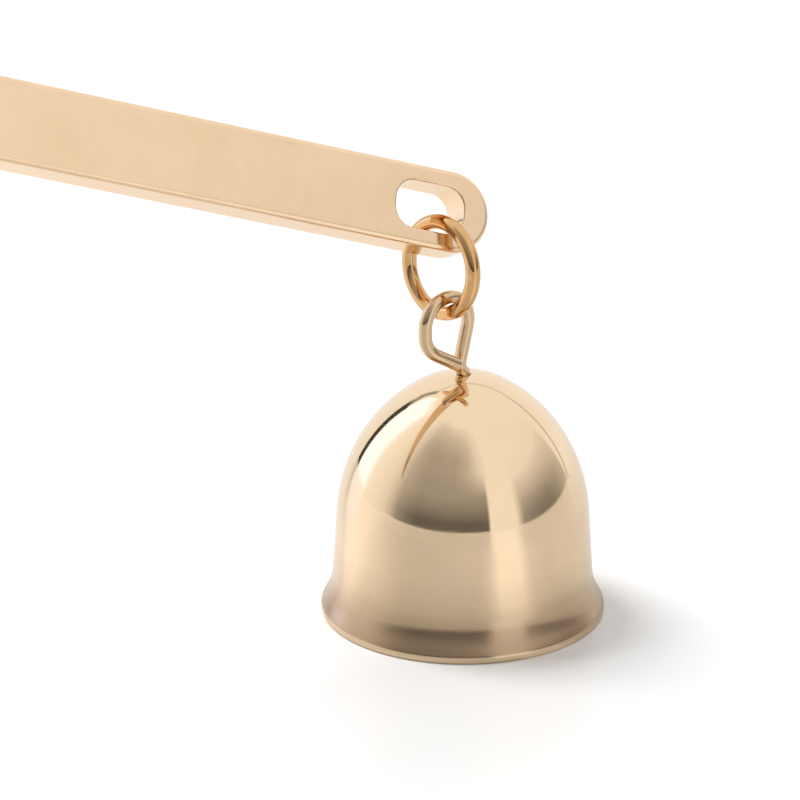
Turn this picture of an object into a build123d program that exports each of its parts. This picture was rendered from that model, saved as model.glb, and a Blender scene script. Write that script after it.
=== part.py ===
from build123d import *
import math
import os

# A candle snuffer: a bell that hangs from a wire eye, the eye from a jump ring, and the ring
# from a slot in the end of a flat handle. Sizes are in millimetres and angles in degrees.
# The origin is the centre of the bell's rim, +Z runs up the bell's axis, and -Y faces the front.
# The handle rises towards -X.

# Bell
bell_height = 24.6
bell_shell = 0.75
lip_radius = 14.0
lip_edge_height = 0.7
lip_rounding = 0.2
flare_height = 2.7
flare_bend = 6.5
wall_radius = 12.9
wall_taper = 3.6
haunch_radius = 16.2
crown_radius = 9.0

# Wire eye on top of the bell, with its heights above the bell's top
eye_wire = 1.3
eye_loop_radius = 2.7
eye_loop_rise = 5.6
eye_loop_offset = 2.2
eye_yaw = 18.2
stem_lean = 14.4
stem_kink_rise = 0.9
stem_foot_rise = 0.2
stem_inner_bend = 0.13
tail_bend = 2.4
tail_corner_rise = 3.5
tail_end_rise = 1.5
tail_turn = 43.0
head_radius = 1.4
head_thickness = 0.7
head_rounding = 0.2

# Jump ring
ring_wire = 1.45
ring_radius = 4.45
ring_yaw = 20.7
ring_tilt = 4.4
ring_lean = 15.6
ring_seam = 0.06
ring_seam_turn = -6.0

# Handle
handle_length = 176.0
handle_width = 7.95
handle_thickness = 3.7
handle_rounding = 0.5
handle_pitch = 18.0
handle_roll = 29.0
slot_length = 7.3
slot_corner_share = 0.43
slot_side_wall = 1.65
slot_end_wall = 2.75

# Clearances
hole_clearance = 0.2
head_clearance = 0.2
tail_clearance = 0.15
link_clearance = 0.22
hang_clearance = 0.2
ring_set_back = 0.34
slot_end_clearance = 0.25

# One overrun for every cut
overrun = 1.0

FRONT = Vector(0, -1, 0)
UP = Vector(0, 0, 1)


def toward_left(yaw):
    """The level direction to the left, turned to the front by yaw."""
    turn = math.radians(yaw)
    return UP.cross(FRONT) * -math.cos(turn) + FRONT * math.sin(turn)


def toward_front(yaw):
    """The level direction to the front, turned to the right by yaw."""
    return toward_left(yaw).cross(UP) * -1


def ring_axes():
    """Unit vectors out of the ring's plane to the left, level in it to the front, and up it."""
    tilt = math.radians(ring_tilt)
    normal = toward_left(ring_yaw) * math.cos(tilt) + UP * math.sin(tilt)
    level = toward_front(ring_yaw)
    return normal, level, normal.cross(level)


def handle_axes():
    """Unit vectors along the handle to its grip, up across its front face, and out of that face."""
    pitch = math.radians(handle_pitch)
    roll = math.radians(handle_roll)
    along = toward_left(0) * math.cos(pitch) + UP * math.sin(pitch)
    upright = along.cross(FRONT)
    across = upright * math.cos(roll) - FRONT * math.sin(roll)
    out = FRONT * math.cos(roll) + upright * math.sin(roll)
    return along, across, out


def loop_centre():
    """Centre of the eye's loop."""
    return UP * (bell_height + eye_loop_rise) + toward_left(eye_yaw) * eye_loop_offset


def link_point():
    """Centre of the ring's wire where the eye's loop hangs on it."""
    return loop_centre() + UP * (eye_loop_radius - eye_wire / 2 - ring_wire / 2 - link_clearance)


def ring_centre():
    """Centre of the jump ring, which leans back above the link."""
    lean = math.radians(ring_lean)
    normal, level, up = ring_axes()
    return link_point() + (up * math.cos(lean) - level * math.sin(lean)) * ring_radius


def handle_origin():
    """Centre of the handle's low round end, on its front face, with the ring hung in its slot."""
    along, across, out = handle_axes()
    inside = ring_radius - ring_wire / 2 - hang_clearance
    set_back = handle_thickness / 2 + ring_set_back
    strip_middle = math.sqrt(inside**2 - set_back**2) - slot_side_wall / 2
    rise = strip_middle + handle_width / 2 - slot_side_wall / 2
    stand = handle_width / 2 - slot_end_wall - ring_wire / 2 - slot_end_clearance
    return ring_centre() + along * stand + across * rise + out * set_back


def bell_outline(inset):
    """Outline of the bell's skin from its lip to its axis, inset from the outer surface."""
    taper = math.radians(wall_taper)
    side = Vector(math.cos(taper), math.sin(taper))
    lip = Vector(lip_radius, lip_edge_height)
    corner = Vector(wall_radius, flare_height)
    slope = (lip - corner).normalized()
    face = Vector(-slope.Y, slope.X)
    crown = Vector(0, bell_height - crown_radius)
    step = haunch_radius - crown_radius
    turn = taper + math.acos((haunch_radius - corner.dot(side) + crown.dot(side)) / step)
    join = Vector(math.cos(turn), math.sin(turn))
    haunch = crown - join * step
    top = Vector(0, crown.Y + crown_radius - inset)
    crown_end = crown + join * (crown_radius - inset)
    wall_top = haunch + side * (haunch_radius - inset)
    bend = corner - (side + face) * (inset / (1 + side.dot(face)))
    foot_height = 0 if inset else lip_edge_height
    foot = bend + slope * ((foot_height - bend.Y) / slope.Y)
    wall = FilletPolyline(foot, bend, wall_top, radius=flare_bend + inset)
    haunch_arc = TangentArc(wall_top, crown_end, tangent=Vector(-side.Y, side.X))
    crown_arc = TangentArc(crown_end, top, tangent=Vector(-join.Y, join.X))
    return Curve() + [wall, haunch_arc, crown_arc], top, foot


def make_bell():
    """Thin bell with a flared lip and a round hole in its top."""
    outside, outer_top, outer_foot = bell_outline(0)
    inside, inner_top, inner_foot = bell_outline(bell_shell)
    rim = Vector(lip_radius, 0)
    edge = Polyline(outer_foot, rim, inner_foot)
    skin = make_face(Curve() + [outside, edge, inside, Line(inner_top, outer_top)])
    lip_corners = skin.vertices().group_by(Axis.X)[-1]
    skin = fillet(lip_corners, lip_rounding)
    solid = revolve(Plane.XZ * skin, Axis.Z)
    hole_radius = eye_wire / 2 + hole_clearance
    depth = 2 * (bell_shell + overrun)
    return solid - Pos(0, 0, bell_height) * Cylinder(hole_radius, depth)


def eye_point(left, rise):
    """A place in the plane of the eye, above the bell's top."""
    return UP * (bell_height + rise) + toward_left(eye_yaw) * left


def stem_top_rise():
    """Height at which the leaning stem runs into the loop."""
    return eye_loop_rise - eye_loop_radius * math.sin(math.radians(stem_lean))


def stem_point(rise):
    """Centre of the leaning stem at a height above the bell's top."""
    lean = math.radians(stem_lean)
    top = eye_loop_offset - eye_loop_radius * math.cos(lean)
    return eye_point(top + (stem_top_rise() - rise) * math.tan(lean), rise)


def tail_end():
    """Centre of the tail's cut end, beside the stem and towards the front."""
    turn = math.radians(tail_turn)
    sideways = toward_left(eye_yaw) * math.cos(turn) + toward_front(eye_yaw) * math.sin(turn)
    return stem_point(tail_end_rise) + sideways * (eye_wire + tail_clearance)


def head_top():
    """Height of the head's top, just clear of the dome's inside at the head's edge."""
    inside = crown_radius - bell_shell
    return bell_height - crown_radius + math.sqrt(inside**2 - head_radius**2) - head_clearance


def eye_path():
    """Middle of the wire, from the head up the stem, over the loop and down to the tail's end."""
    head_middle = UP * (head_top() - head_thickness / 2)
    stem = [head_middle, eye_point(0, stem_foot_rise), stem_point(stem_kink_rise), stem_point(stem_top_rise())]
    stem_bend = eye_wire / 2 + stem_inner_bend
    frame = Plane(loop_centre(), x_dir=toward_left(eye_yaw), z_dir=toward_front(eye_yaw) * -1)
    side = eye_loop_offset + eye_loop_radius
    half_turn = 180
    loop = frame * CenterArc((0, 0), eye_loop_radius, 0, half_turn + stem_lean)
    tail = [eye_point(side, eye_loop_rise), eye_point(side, tail_corner_rise), tail_end()]
    runs = FilletPolyline(*stem, radius=stem_bend).edges() + FilletPolyline(*tail, radius=tail_bend).edges()
    return Wire(runs + loop.edges())


def make_bell_eye():
    """One wire bent to a loop, with a free tail and a round head that holds it under the bell's top."""
    path = eye_path()
    section = Plane(path @ 0, z_dir=path % 0) * Circle(eye_wire / 2)
    wire = sweep(section, path)
    print("eye wire volume", wire.volume, "and as a straight wire", path.length * section.area)
    head = Pos(0, 0, head_top() - head_thickness / 2) * Cylinder(head_radius, head_thickness)
    return wire + fillet(head.edges().filter_by(GeomType.CIRCLE), head_rounding)


def make_jump_ring():
    """Round wire bent to a ring, with its two ends butted at a fine seam."""
    normal, level, up = ring_axes()
    turn = math.radians(ring_seam_turn)
    spoke = up * -math.cos(turn) - level * math.sin(turn)
    gap = math.degrees(ring_seam / ring_radius)
    section = Plane(ring_centre() + spoke * ring_radius, z_dir=normal.cross(spoke)) * Circle(ring_wire / 2)
    return revolve(section, Axis(ring_centre(), normal), revolution_arc=360 - gap)


def make_handle():
    """Flat bar with round ends and a slot near its lower end."""
    along, across, out = handle_axes()
    face = Plane(handle_origin(), x_dir=along, z_dir=out)
    end_radius = handle_width / 2
    middle = handle_length / 2 - end_radius
    blank = Pos(middle, 0) * SlotOverall(handle_length, handle_width)
    slot_middle = slot_end_wall - end_radius + slot_length / 2
    slot_width = handle_width - 2 * slot_side_wall
    slot_corner = slot_width * slot_corner_share
    slot = Pos(slot_middle, 0) * RectangleRounded(slot_length, slot_width, slot_corner)
    bar = extrude(face * (blank - slot), -handle_thickness)
    faces = bar.faces().filter_by(Axis((0, 0, 0), out))
    return fillet(faces.edges(), handle_rounding)


def main():
    """Writes each piece to its own file."""
    os.makedirs("parts", exist_ok=True)
    export_step(make_handle(), "parts/handle.step")
    export_step(make_jump_ring(), "parts/jump_ring.step")
    export_step(make_bell_eye(), "parts/bell_eye.step")
    export_step(make_bell(), "parts/bell.step")


if __name__ == "__main__":
    main()
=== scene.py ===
"""A candle snuffer in polished gold-coloured brass, on a pale studio floor.

A bell hangs by a wire eye from a jump ring, and the ring from a slot in the low end of a flat
handle. The pieces hold their sizes in millimetres and the studio's props theirs in metres.
Angles are in degrees. The meshes are made in metres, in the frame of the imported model.
"""

import logging
import math
from collections.abc import Callable, Sequence
from dataclasses import dataclass, field
from enum import Enum

import bmesh
import bpy
from mathutils import Matrix, Vector

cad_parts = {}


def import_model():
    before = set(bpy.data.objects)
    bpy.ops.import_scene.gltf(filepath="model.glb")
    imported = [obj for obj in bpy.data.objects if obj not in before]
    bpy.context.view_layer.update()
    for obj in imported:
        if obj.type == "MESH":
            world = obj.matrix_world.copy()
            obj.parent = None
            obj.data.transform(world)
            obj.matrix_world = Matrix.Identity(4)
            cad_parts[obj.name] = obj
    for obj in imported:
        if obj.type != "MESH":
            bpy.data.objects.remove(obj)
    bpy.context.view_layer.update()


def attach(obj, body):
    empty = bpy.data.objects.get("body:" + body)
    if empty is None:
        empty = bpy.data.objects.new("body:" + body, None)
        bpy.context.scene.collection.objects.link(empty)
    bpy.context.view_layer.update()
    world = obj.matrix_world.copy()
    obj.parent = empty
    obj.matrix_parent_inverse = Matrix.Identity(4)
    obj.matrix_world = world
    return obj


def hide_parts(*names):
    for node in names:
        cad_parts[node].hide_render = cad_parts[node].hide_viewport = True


MILLIMETRE = 0.001
UP = Vector((0, 0, 1))
FRONT = Vector((0, -1, 0))
LEFT = Vector((-1, 0, 0))

Object = bpy.types.Object
Socket = bpy.types.NodeSocket
Colour = tuple[float, float, float]
Range = tuple[float, float]
Feed = Socket | float | Sequence[float]
Profile = Sequence[tuple[float, float]]

# Millimetres between two points that are one
SEAM_GAP = 0.0005
# Millimetres from a surface within which a place lies on it
NEAR = 0.001
# Millimetres from an outline within which an edge belongs to it
EDGE_REACH = 0.01
# Radians between two faces, below which they are one flat
COPLANAR = 0.01
# Radians between two faces, above which they meet in a sharp edge
SHARP = 1.0
# Least upright share of a level face's normal
UPRIGHT = 0.9999
# Steps across the broken edge of a cut
CUT_SEGMENTS = 3
# Fewest straight steps that stand for an arc
LEAST_STEPS = 2
# Places of a mix node's two colours among its inputs, and of the mixed one among its outputs
FIRST_COLOUR, SECOND_COLOUR, MIXED_COLOUR = 6, 7, 2

log = logging.getLogger("snuffer")


class Body(Enum):
    """The bodies that move against each other, from the hand to the bell."""

    HANDLE = "handle"
    RING = "ring"
    EYE = "eye"
    BELL = "bell"


class Slot(Enum):
    """The record's material slots."""

    HANDLE = "handle_gold"
    RING = "ring_gold"
    EYE = "eye_gold"
    BELL = "bell_gold"


class Pick(Enum):
    """What a selection in edit mode is made of."""

    POINTS = "VERT"
    EDGES = "EDGE"
    FACES = "FACE"


# Tools


def to_metres(place: Vector) -> Vector:
    """Returns a place given in millimetres as metres."""
    return place * MILLIMETRE


def grey(level: float) -> tuple[float, float, float, float]:
    """Returns an opaque grey."""
    return (level, level, level, 1.0)


def axes_matrix(right: Vector, upward: Vector, out: Vector) -> Matrix:
    """Turns the world's axes into three others.

    Args:
        right: Where the local X axis points.
        upward: Where the local Y axis points.
        out: Where the local Z axis points.

    Returns:
        The rotation with those axes as its columns.
    """
    return Matrix((right, upward, out)).transposed()


def clear_selection() -> None:
    """Deselects every object, because an operator acts on all that is selected."""
    bpy.ops.object.select_all(action="DESELECT")


def activate(piece: Object) -> None:
    """Makes an object the only selected one, and the active one.

    Args:
        piece: The object.
    """
    clear_selection()
    piece.select_set(True)
    bpy.context.view_layer.objects.active = piece


def start_editing(pick: Pick) -> None:
    """Enters edit mode on the active object with nothing selected.

    Args:
        pick: What can be selected.
    """
    bpy.ops.object.mode_set(mode="EDIT")
    bpy.ops.mesh.select_mode(type=pick.value)
    bpy.ops.mesh.select_all(action="DESELECT")


def stop_editing() -> None:
    """Goes back to object mode."""
    bpy.ops.object.mode_set(mode="OBJECT")


def pick_points(piece: Object, wanted: Callable[[Vector], bool]) -> None:
    """Selects the points of a mesh by their place, and no others.

    Args:
        piece: An object in edit mode, at the origin.
        wanted: Tells from a place in millimetres whether the point there is selected.
    """
    bpy.ops.mesh.select_mode(type=Pick.POINTS.value)
    bpy.ops.mesh.select_all(action="DESELECT")
    mesh = bmesh.from_edit_mesh(piece.data)
    for point in mesh.verts:
        if wanted(piece.matrix_world @ point.co / MILLIMETRE):
            point.select_set(True)
    mesh.select_flush_mode()
    bmesh.update_edit_mesh(piece.data)


def keep_level_edges(piece: Object) -> None:
    """Deselects the edges of a mesh in edit mode that climb, so that only level ones stay.

    Args:
        piece: The object in edit mode.
    """
    mesh = bmesh.from_edit_mesh(piece.data)
    for edge in mesh.edges:
        first, second = (point.co for point in edge.verts)
        if edge.select and abs(first.z - second.z) > NEAR * MILLIMETRE:
            edge.select_set(False)
    bmesh.update_edit_mesh(piece.data)


def settle(piece: Object) -> None:
    """Leaves the object at the origin, unturned and unscaled, with its place in its mesh."""
    activate(piece)
    bpy.ops.object.transform_apply(location=True, rotation=True, scale=True)


def close_seams() -> None:
    """Merges the active object's doubled points and turns its faces outwards."""
    start_editing(Pick.POINTS)
    bpy.ops.mesh.select_all(action="SELECT")
    bpy.ops.mesh.remove_doubles(threshold=SEAM_GAP * MILLIMETRE)
    bpy.ops.mesh.normals_make_consistent(inside=False)
    stop_editing()


def shade(piece: Object, sharp_from: float) -> None:
    """Shades a piece smooth, but for its edges sharper than an angle.

    Args:
        piece: The piece to shade.
        sharp_from: The angle in degrees from which an edge stays sharp.
    """
    activate(piece)
    bpy.ops.object.shade_smooth_by_angle(angle=math.radians(sharp_from))


def bevel_picked(width: float, segments: int) -> None:
    """Bevels the selected edges by a width in millimetres."""
    bpy.ops.mesh.bevel(offset=width * MILLIMETRE, segments=segments, affect="EDGES")


@dataclass
class Former:
    """Forms one mesh by leading a section along a path with the extrude and spin operators."""

    piece: Object
    place: Vector
    step: float = 3.0

    def run_to(self, place: Vector) -> None:
        """Leads the selected section straight to a place.

        Args:
            place: Where its middle comes to lie.
        """
        offset = to_metres(place - self.place)
        bpy.ops.mesh.extrude_region_move(TRANSFORM_OT_translate={"value": offset})
        self.place = place.copy()

    def turn_about(self, centre: Vector, axis: Vector, turn: float) -> None:
        """Leads the selected section round an axis.

        Args:
            centre: A place on the axis.
            axis: The axis, about which the section turns as a right-hand screw does.
            turn: The angle in degrees.
        """
        steps = max(LEAST_STEPS, math.ceil(abs(turn) / self.step))
        centre_in_metres = to_metres(centre)
        angle = math.radians(turn)
        bpy.ops.mesh.spin(steps=steps, angle=angle, center=centre_in_metres, axis=-axis)
        self.place = centre + Matrix.Rotation(angle, 3, axis) @ (self.place - centre)

    def arc_to(self, place: Vector, centre: Vector) -> None:
        """Leads the section along the shorter arc round a centre to a place."""
        start, end = self.place - centre, place - centre
        self.turn_about(centre, start.cross(end).normalized(), math.degrees(start.angle(end)))

    def round_corner(self, corner: Vector, beyond: Vector, radius: float) -> None:
        """Leads the section to a corner and rounds it towards the next place.

        Args:
            corner: Where the two straight runs would meet.
            beyond: A place that the second run passes through.
            radius: The radius of the section's path in the corner.
        """
        inward = (corner - self.place).normalized()
        outward = (beyond - corner).normalized()
        setback = radius * math.tan(inward.angle(outward) / 2)
        middle = (outward - inward).normalized()
        centre = corner + middle * math.hypot(setback, radius)
        self.run_to(corner - inward * setback)
        self.arc_to(corner + outward * setback, centre)


def take_up(name: str, pick: Pick) -> Object:
    """Names and settles the object that was just added, and selects all of it in edit mode.

    Args:
        name: The name that the object gets.
        pick: What the selection is made of.

    Returns:
        The object.
    """
    piece = bpy.context.object
    piece.name = name
    settle(piece)
    start_editing(pick)
    bpy.ops.mesh.select_all(action="SELECT")
    return piece


def start_wire(name: str, place: Vector, heading: Vector, radius: float, sides: int) -> Former:
    """Places the first round section of a wire and leaves it selected in edit mode.

    Args:
        name: The piece's name.
        place: The middle of the section.
        heading: The way that the wire leaves it.
        radius: The wire's radius.
        sides: How many sides stand for its roundness.

    Returns:
        The former that holds the section.
    """
    clear_selection()
    bpy.ops.mesh.primitive_circle_add(
        vertices=sides,
        radius=radius * MILLIMETRE,
        fill_type="NOTHING",
        location=to_metres(place),
        rotation=heading.to_track_quat("Z", "Y").to_euler(),
    )
    return Former(take_up(name, Pick.POINTS), place.copy())


def start_outline(name: str, place: Vector) -> Former:
    """Places the first point of an outline and leaves it selected in edit mode.

    Args:
        name: The piece's name.
        place: The first point.

    Returns:
        The former that holds the point.
    """
    clear_selection()
    bpy.ops.mesh.primitive_plane_add(size=MILLIMETRE, location=to_metres(place))
    piece = take_up(name, Pick.POINTS)
    bpy.ops.mesh.merge(type="CENTER")
    return Former(piece, place.copy())


def cap_wire(piece: Object, ends: list[Vector], radius: float, edge_break: float) -> None:
    """Closes a wire's cut ends and breaks their edges.

    Args:
        piece: The wire, in edit mode.
        ends: The middles of its two ends.
        radius: The wire's radius.
        edge_break: How far the sharp edge of a cut is taken back.
    """
    for end in ends:
        pick_points(piece, lambda place, end=end: (place - end).length < radius + NEAR)
        bpy.ops.mesh.edge_face_add()
        bpy.ops.mesh.select_mode(type=Pick.EDGES.value)
        bevel_picked(edge_break, CUT_SEGMENTS)
    stop_editing()


# Finishes


@dataclass
class NodeBench:
    """Adds and links the nodes of one material."""

    tree: bpy.types.NodeTree

    def add(self, kind: str, settings: dict | None = None, **sockets: Feed) -> bpy.types.Node:
        """Adds a node.

        Args:
            kind: The node's type.
            settings: The node's own settings by name.
            sockets: For each input socket by name, a value or the output that it is linked to.

        Returns:
            The new node.
        """
        node = self.tree.nodes.new(kind)
        for name, value in (settings or {}).items():
            setattr(node, name, value)
        for name, value in sockets.items():
            self.feed(node.inputs[name.replace("_", " ")], value)
        return node

    def feed(self, socket: Socket, value: Feed) -> None:
        """Links an output to a socket, or sets the socket to a plain value.

        Args:
            socket: The input socket.
            value: An output or a plain value.
        """
        if isinstance(value, Socket):
            self.tree.links.new(value, socket)
        else:
            socket.default_value = value

    def ramp(self, factor: Socket, stops: Profile) -> Socket:
        """Turns a factor into a grey level.

        Args:
            factor: What the ramp is read by.
            stops: The ramp's places from 0 to 1 and the grey level at each.

        Returns:
            The ramp's colour output.
        """
        node = self.add("ShaderNodeValToRGB", Fac=factor)
        elements = node.color_ramp.elements
        while len(elements) < len(stops):
            elements.new(1.0)
        for element, (place, level) in zip(elements, stops):
            element.position = place
            element.color = grey(level)
        return node.outputs["Color"]

    def mix(self, factor: Feed, first: Feed, second: Feed) -> Socket:
        """Mixes two colours.

        Args:
            factor: The share of the second colour.
            first: The first colour.
            second: The second colour.

        Returns:
            The mixed colour.
        """
        node = self.add("ShaderNodeMix", {"data_type": "RGBA"})
        self.feed(node.inputs["Factor"], factor)
        self.feed(node.inputs[FIRST_COLOUR], first)
        self.feed(node.inputs[SECOND_COLOUR], second)
        return node.outputs[MIXED_COLOUR]

    def span(self, value: Socket, source: Range, target: Range) -> Socket:
        """Stretches one range of a value over another.

        Args:
            value: What is stretched.
            source: The ends of the range that it comes from.
            target: The ends of the range that it goes to.

        Returns:
            The stretched value, which stays within the target.
        """
        node = self.add("ShaderNodeMapRange", Value=value)
        node.inputs["From Min"].default_value, node.inputs["From Max"].default_value = source
        node.inputs["To Min"].default_value, node.inputs["To Max"].default_value = target
        return node.outputs["Result"]

    def sum(self, kind: str, *terms: Feed) -> Socket:
        """Joins two or three values by one kind of sum.

        Args:
            kind: The sum's kind.
            terms: Outputs or plain numbers.

        Returns:
            The result.
        """
        node = self.add("ShaderNodeMath", {"operation": kind})
        for socket, term in zip(node.inputs, terms):
            self.feed(socket, term)
        return node.outputs[0]

    def profile(self, value: Socket, stops: Profile, measure: Callable[[float], float]) -> Socket:
        """Reads a level off a profile.

        Args:
            value: What the profile is read by.
            stops: The profile's places and the level at each.
            measure: Turns a place into what the value is measured in.

        Returns:
            The level.
        """
        low, high = measure(stops[0][0]), measure(stops[-1][0])
        share = self.span(value, (low, high), (0.0, 1.0))
        places = [((measure(place) - low) / (high - low), level) for place, level in stops]
        return self.ramp(share, places)

    def noise(
        self, place: Socket, scale: float, detail: float, roughness: float, twist: float = 0.0
    ) -> Socket:
        """Lays a cloudy noise over the piece.

        Args:
            place: Coordinates on the piece.
            scale: How many clouds lie on one unit of them.
            detail: How many finer layers the noise has.
            roughness: How strong each finer layer is.
            twist: How far the clouds are distorted.

        Returns:
            The noise's level.
        """
        shape = {"Detail": detail, "Roughness": roughness, "Distortion": twist}
        node = self.add("ShaderNodeTexNoise", Vector=place, Scale=scale, **shape)
        return node.outputs["Fac"]

    def azimuth(self, place: Socket, middle: float) -> Socket:
        """Measures the angle round the bell's axis, from the front to the right.

        Args:
            place: Object coordinates.
            middle: The angle in degrees that the measured one is nearest to.

        Returns:
            The angle in radians.
        """
        parts = self.add("ShaderNodeSeparateXYZ", Vector=place)
        turned = self.sum("MULTIPLY", parts.outputs["Y"], -1.0)
        angle = self.sum("ARCTAN2", parts.outputs["X"], turned)
        centre = math.radians(middle)
        return self.sum("WRAP", angle, centre + math.pi, centre - math.pi)


def blank_material(name: str) -> tuple[bpy.types.Material, NodeBench]:
    """Makes a material without any nodes.

    Args:
        name: The material's name.

    Returns:
        The material and the bench for its nodes.
    """
    material = bpy.data.materials.new(name)
    material.use_nodes = True
    material.node_tree.nodes.clear()
    return material, NodeBench(material.node_tree)


@dataclass(frozen=True)
class PolishedGold:
    """Gold-coloured plating, polished bright: clouded by handling and very finely scratched.

    The sizes are in millimetres. A foot, where there is one, dulls the metal by its height above
    the floor, and darkens its colour there as painted shade towards the lip.
    """

    name: str
    bright: Colour
    warm: Colour
    worn: Colour
    roughness: Range = (0.045, 0.085)
    cloud_size: float = 6.0
    smudge_size: float = 1.6
    scratch_width: float = 0.09
    scratch_stretch: float = 40.0
    scratch_turns: tuple[Colour, ...] = ((0.3, 0.5, 0.2), (1.1, 0.2, 0.9), (0.6, 1.3, 1.7))
    scratch_cut: Range = (0.66, 0.74)
    scratch_depth: float = 0.00035
    scratch_roughness: float = 0.05
    ripple_size: float = 2.4
    ripple_depth: float = 0.00045
    noise_span: Range = (0.35, 0.65)
    wear_span: Range = (0.53, 0.6)
    wear_share: float = 0.6
    # The foot profile and its dark colour paint shade towards the lip; the foot also adds
    # roughness.
    foot: Profile = ()
    foot_roughness: float = 0.0
    painted_foot_shade: Colour = (0.0, 0.0, 0.0)

    def make(self) -> bpy.types.Material:
        """Builds the material.

        Returns:
            The finish as a node material.
        """
        material, bench = blank_material(self.name)
        place = bench.add("ShaderNodeTexCoord").outputs["Object"]
        scratches = self.scratches(bench, place)
        shader = bench.add(
            "ShaderNodeBsdfPrincipled",
            Base_Color=self.colour(bench, place),
            Metallic=1.0,
            Roughness=self.gloss(bench, place, scratches),
            Normal=self.relief(bench, place, scratches),
        )
        bench.add("ShaderNodeOutputMaterial", Surface=shader.outputs["BSDF"])
        return material

    def colour(self, bench: NodeBench, place: Socket) -> Socket:
        """Clouds the plating's colour, paints shade on it near the foot, and pales it where its
        edges wear.

        Args:
            bench: The material's bench.
            place: Object coordinates.

        Returns:
            The colour.
        """
        clouds = bench.noise(
            place, 1 / (self.cloud_size * MILLIMETRE), detail=4.0, roughness=0.55, twist=0.6
        )
        clouded = bench.mix(
            bench.span(clouds, self.noise_span, (0.0, 1.0)),
            (*self.bright, 1.0),
            (*self.warm, 1.0),
        )
        # Painted shade: the colour darkens towards the lip.
        if self.foot:
            clouded = bench.mix(self.painted_lip_shade_and_dulling(bench, place), clouded, (*self.painted_foot_shade, 1.0))
        ridges = bench.add("ShaderNodeNewGeometry").outputs["Pointiness"]
        rubbed = bench.span(ridges, self.wear_span, (0.0, self.wear_share))
        return bench.mix(rubbed, clouded, (*self.worn, 1.0))

    def painted_lip_shade_and_dulling(self, bench: NodeBench, place: Socket) -> Socket:
        """Returns how much the metal is dulled near its foot, and how much painted shade darkens it
        there.
        """
        height = bench.add("ShaderNodeSeparateXYZ", Vector=place).outputs["Z"]
        return bench.profile(height, self.foot, lambda rise: rise * MILLIMETRE)

    def scratches(self, bench: NodeBench, place: Socket) -> Socket:
        """Lays fine scratches in several directions.

        Args:
            bench: The material's bench.
            place: Object coordinates.

        Returns:
            A level of 1 in a scratch and 0 beside it.
        """
        level: Feed = 0.0
        for turn in self.scratch_turns:
            width = self.scratch_width * MILLIMETRE
            mapping = bench.add(
                "ShaderNodeMapping",
                {"vector_type": "TEXTURE"},
                Vector=place,
                Rotation=turn,
                Scale=(width, width, width * self.scratch_stretch),
            )
            noise = bench.noise(mapping.outputs["Vector"], 1.0, detail=2.0, roughness=0.5)
            lines = bench.ramp(noise, list(zip(self.scratch_cut, (0.0, 1.0))))
            level = bench.sum("MAXIMUM", lines, level)
        return level

    def gloss(self, bench: NodeBench, place: Socket, scratches: Socket) -> Socket:
        """Varies the roughness with smudges and adds that of the scratches and more towards the
        foot.

        Args:
            bench: The material's bench.
            place: Object coordinates.
            scratches: The level of the scratches.

        Returns:
            The roughness.
        """
        scale = 1 / (self.smudge_size * MILLIMETRE)
        smudges = bench.noise(place, scale, detail=5.0, roughness=0.6)
        base = bench.span(smudges, self.noise_span, self.roughness)
        rough = bench.sum("MULTIPLY_ADD", scratches, self.scratch_roughness, base)
        if not self.foot:
            return rough
        return bench.sum("MULTIPLY_ADD", self.painted_lip_shade_and_dulling(bench, place), self.foot_roughness, rough)

    def relief(self, bench: NodeBench, place: Socket, scratches: Socket) -> Socket:
        """Cuts the scratches into a surface that the polishing left faintly rippled.

        Args:
            bench: The material's bench.
            place: Object coordinates.
            scratches: The level of the scratches.

        Returns:
            The bumped normal.
        """
        scale = 1 / (self.ripple_size * MILLIMETRE)
        ripples = bench.noise(place, scale, detail=1.0, roughness=0.4)
        waves = bench.add(
            "ShaderNodeBump",
            Height=ripples,
            Strength=1.0,
            Distance=self.ripple_depth * MILLIMETRE,
        )
        cuts = bench.add(
            "ShaderNodeBump",
            {"invert": True},
            Height=scratches,
            Strength=1.0,
            Distance=self.scratch_depth * MILLIMETRE,
            Normal=waves.outputs["Normal"],
        )
        return cuts.outputs["Normal"]


# Pieces


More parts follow.
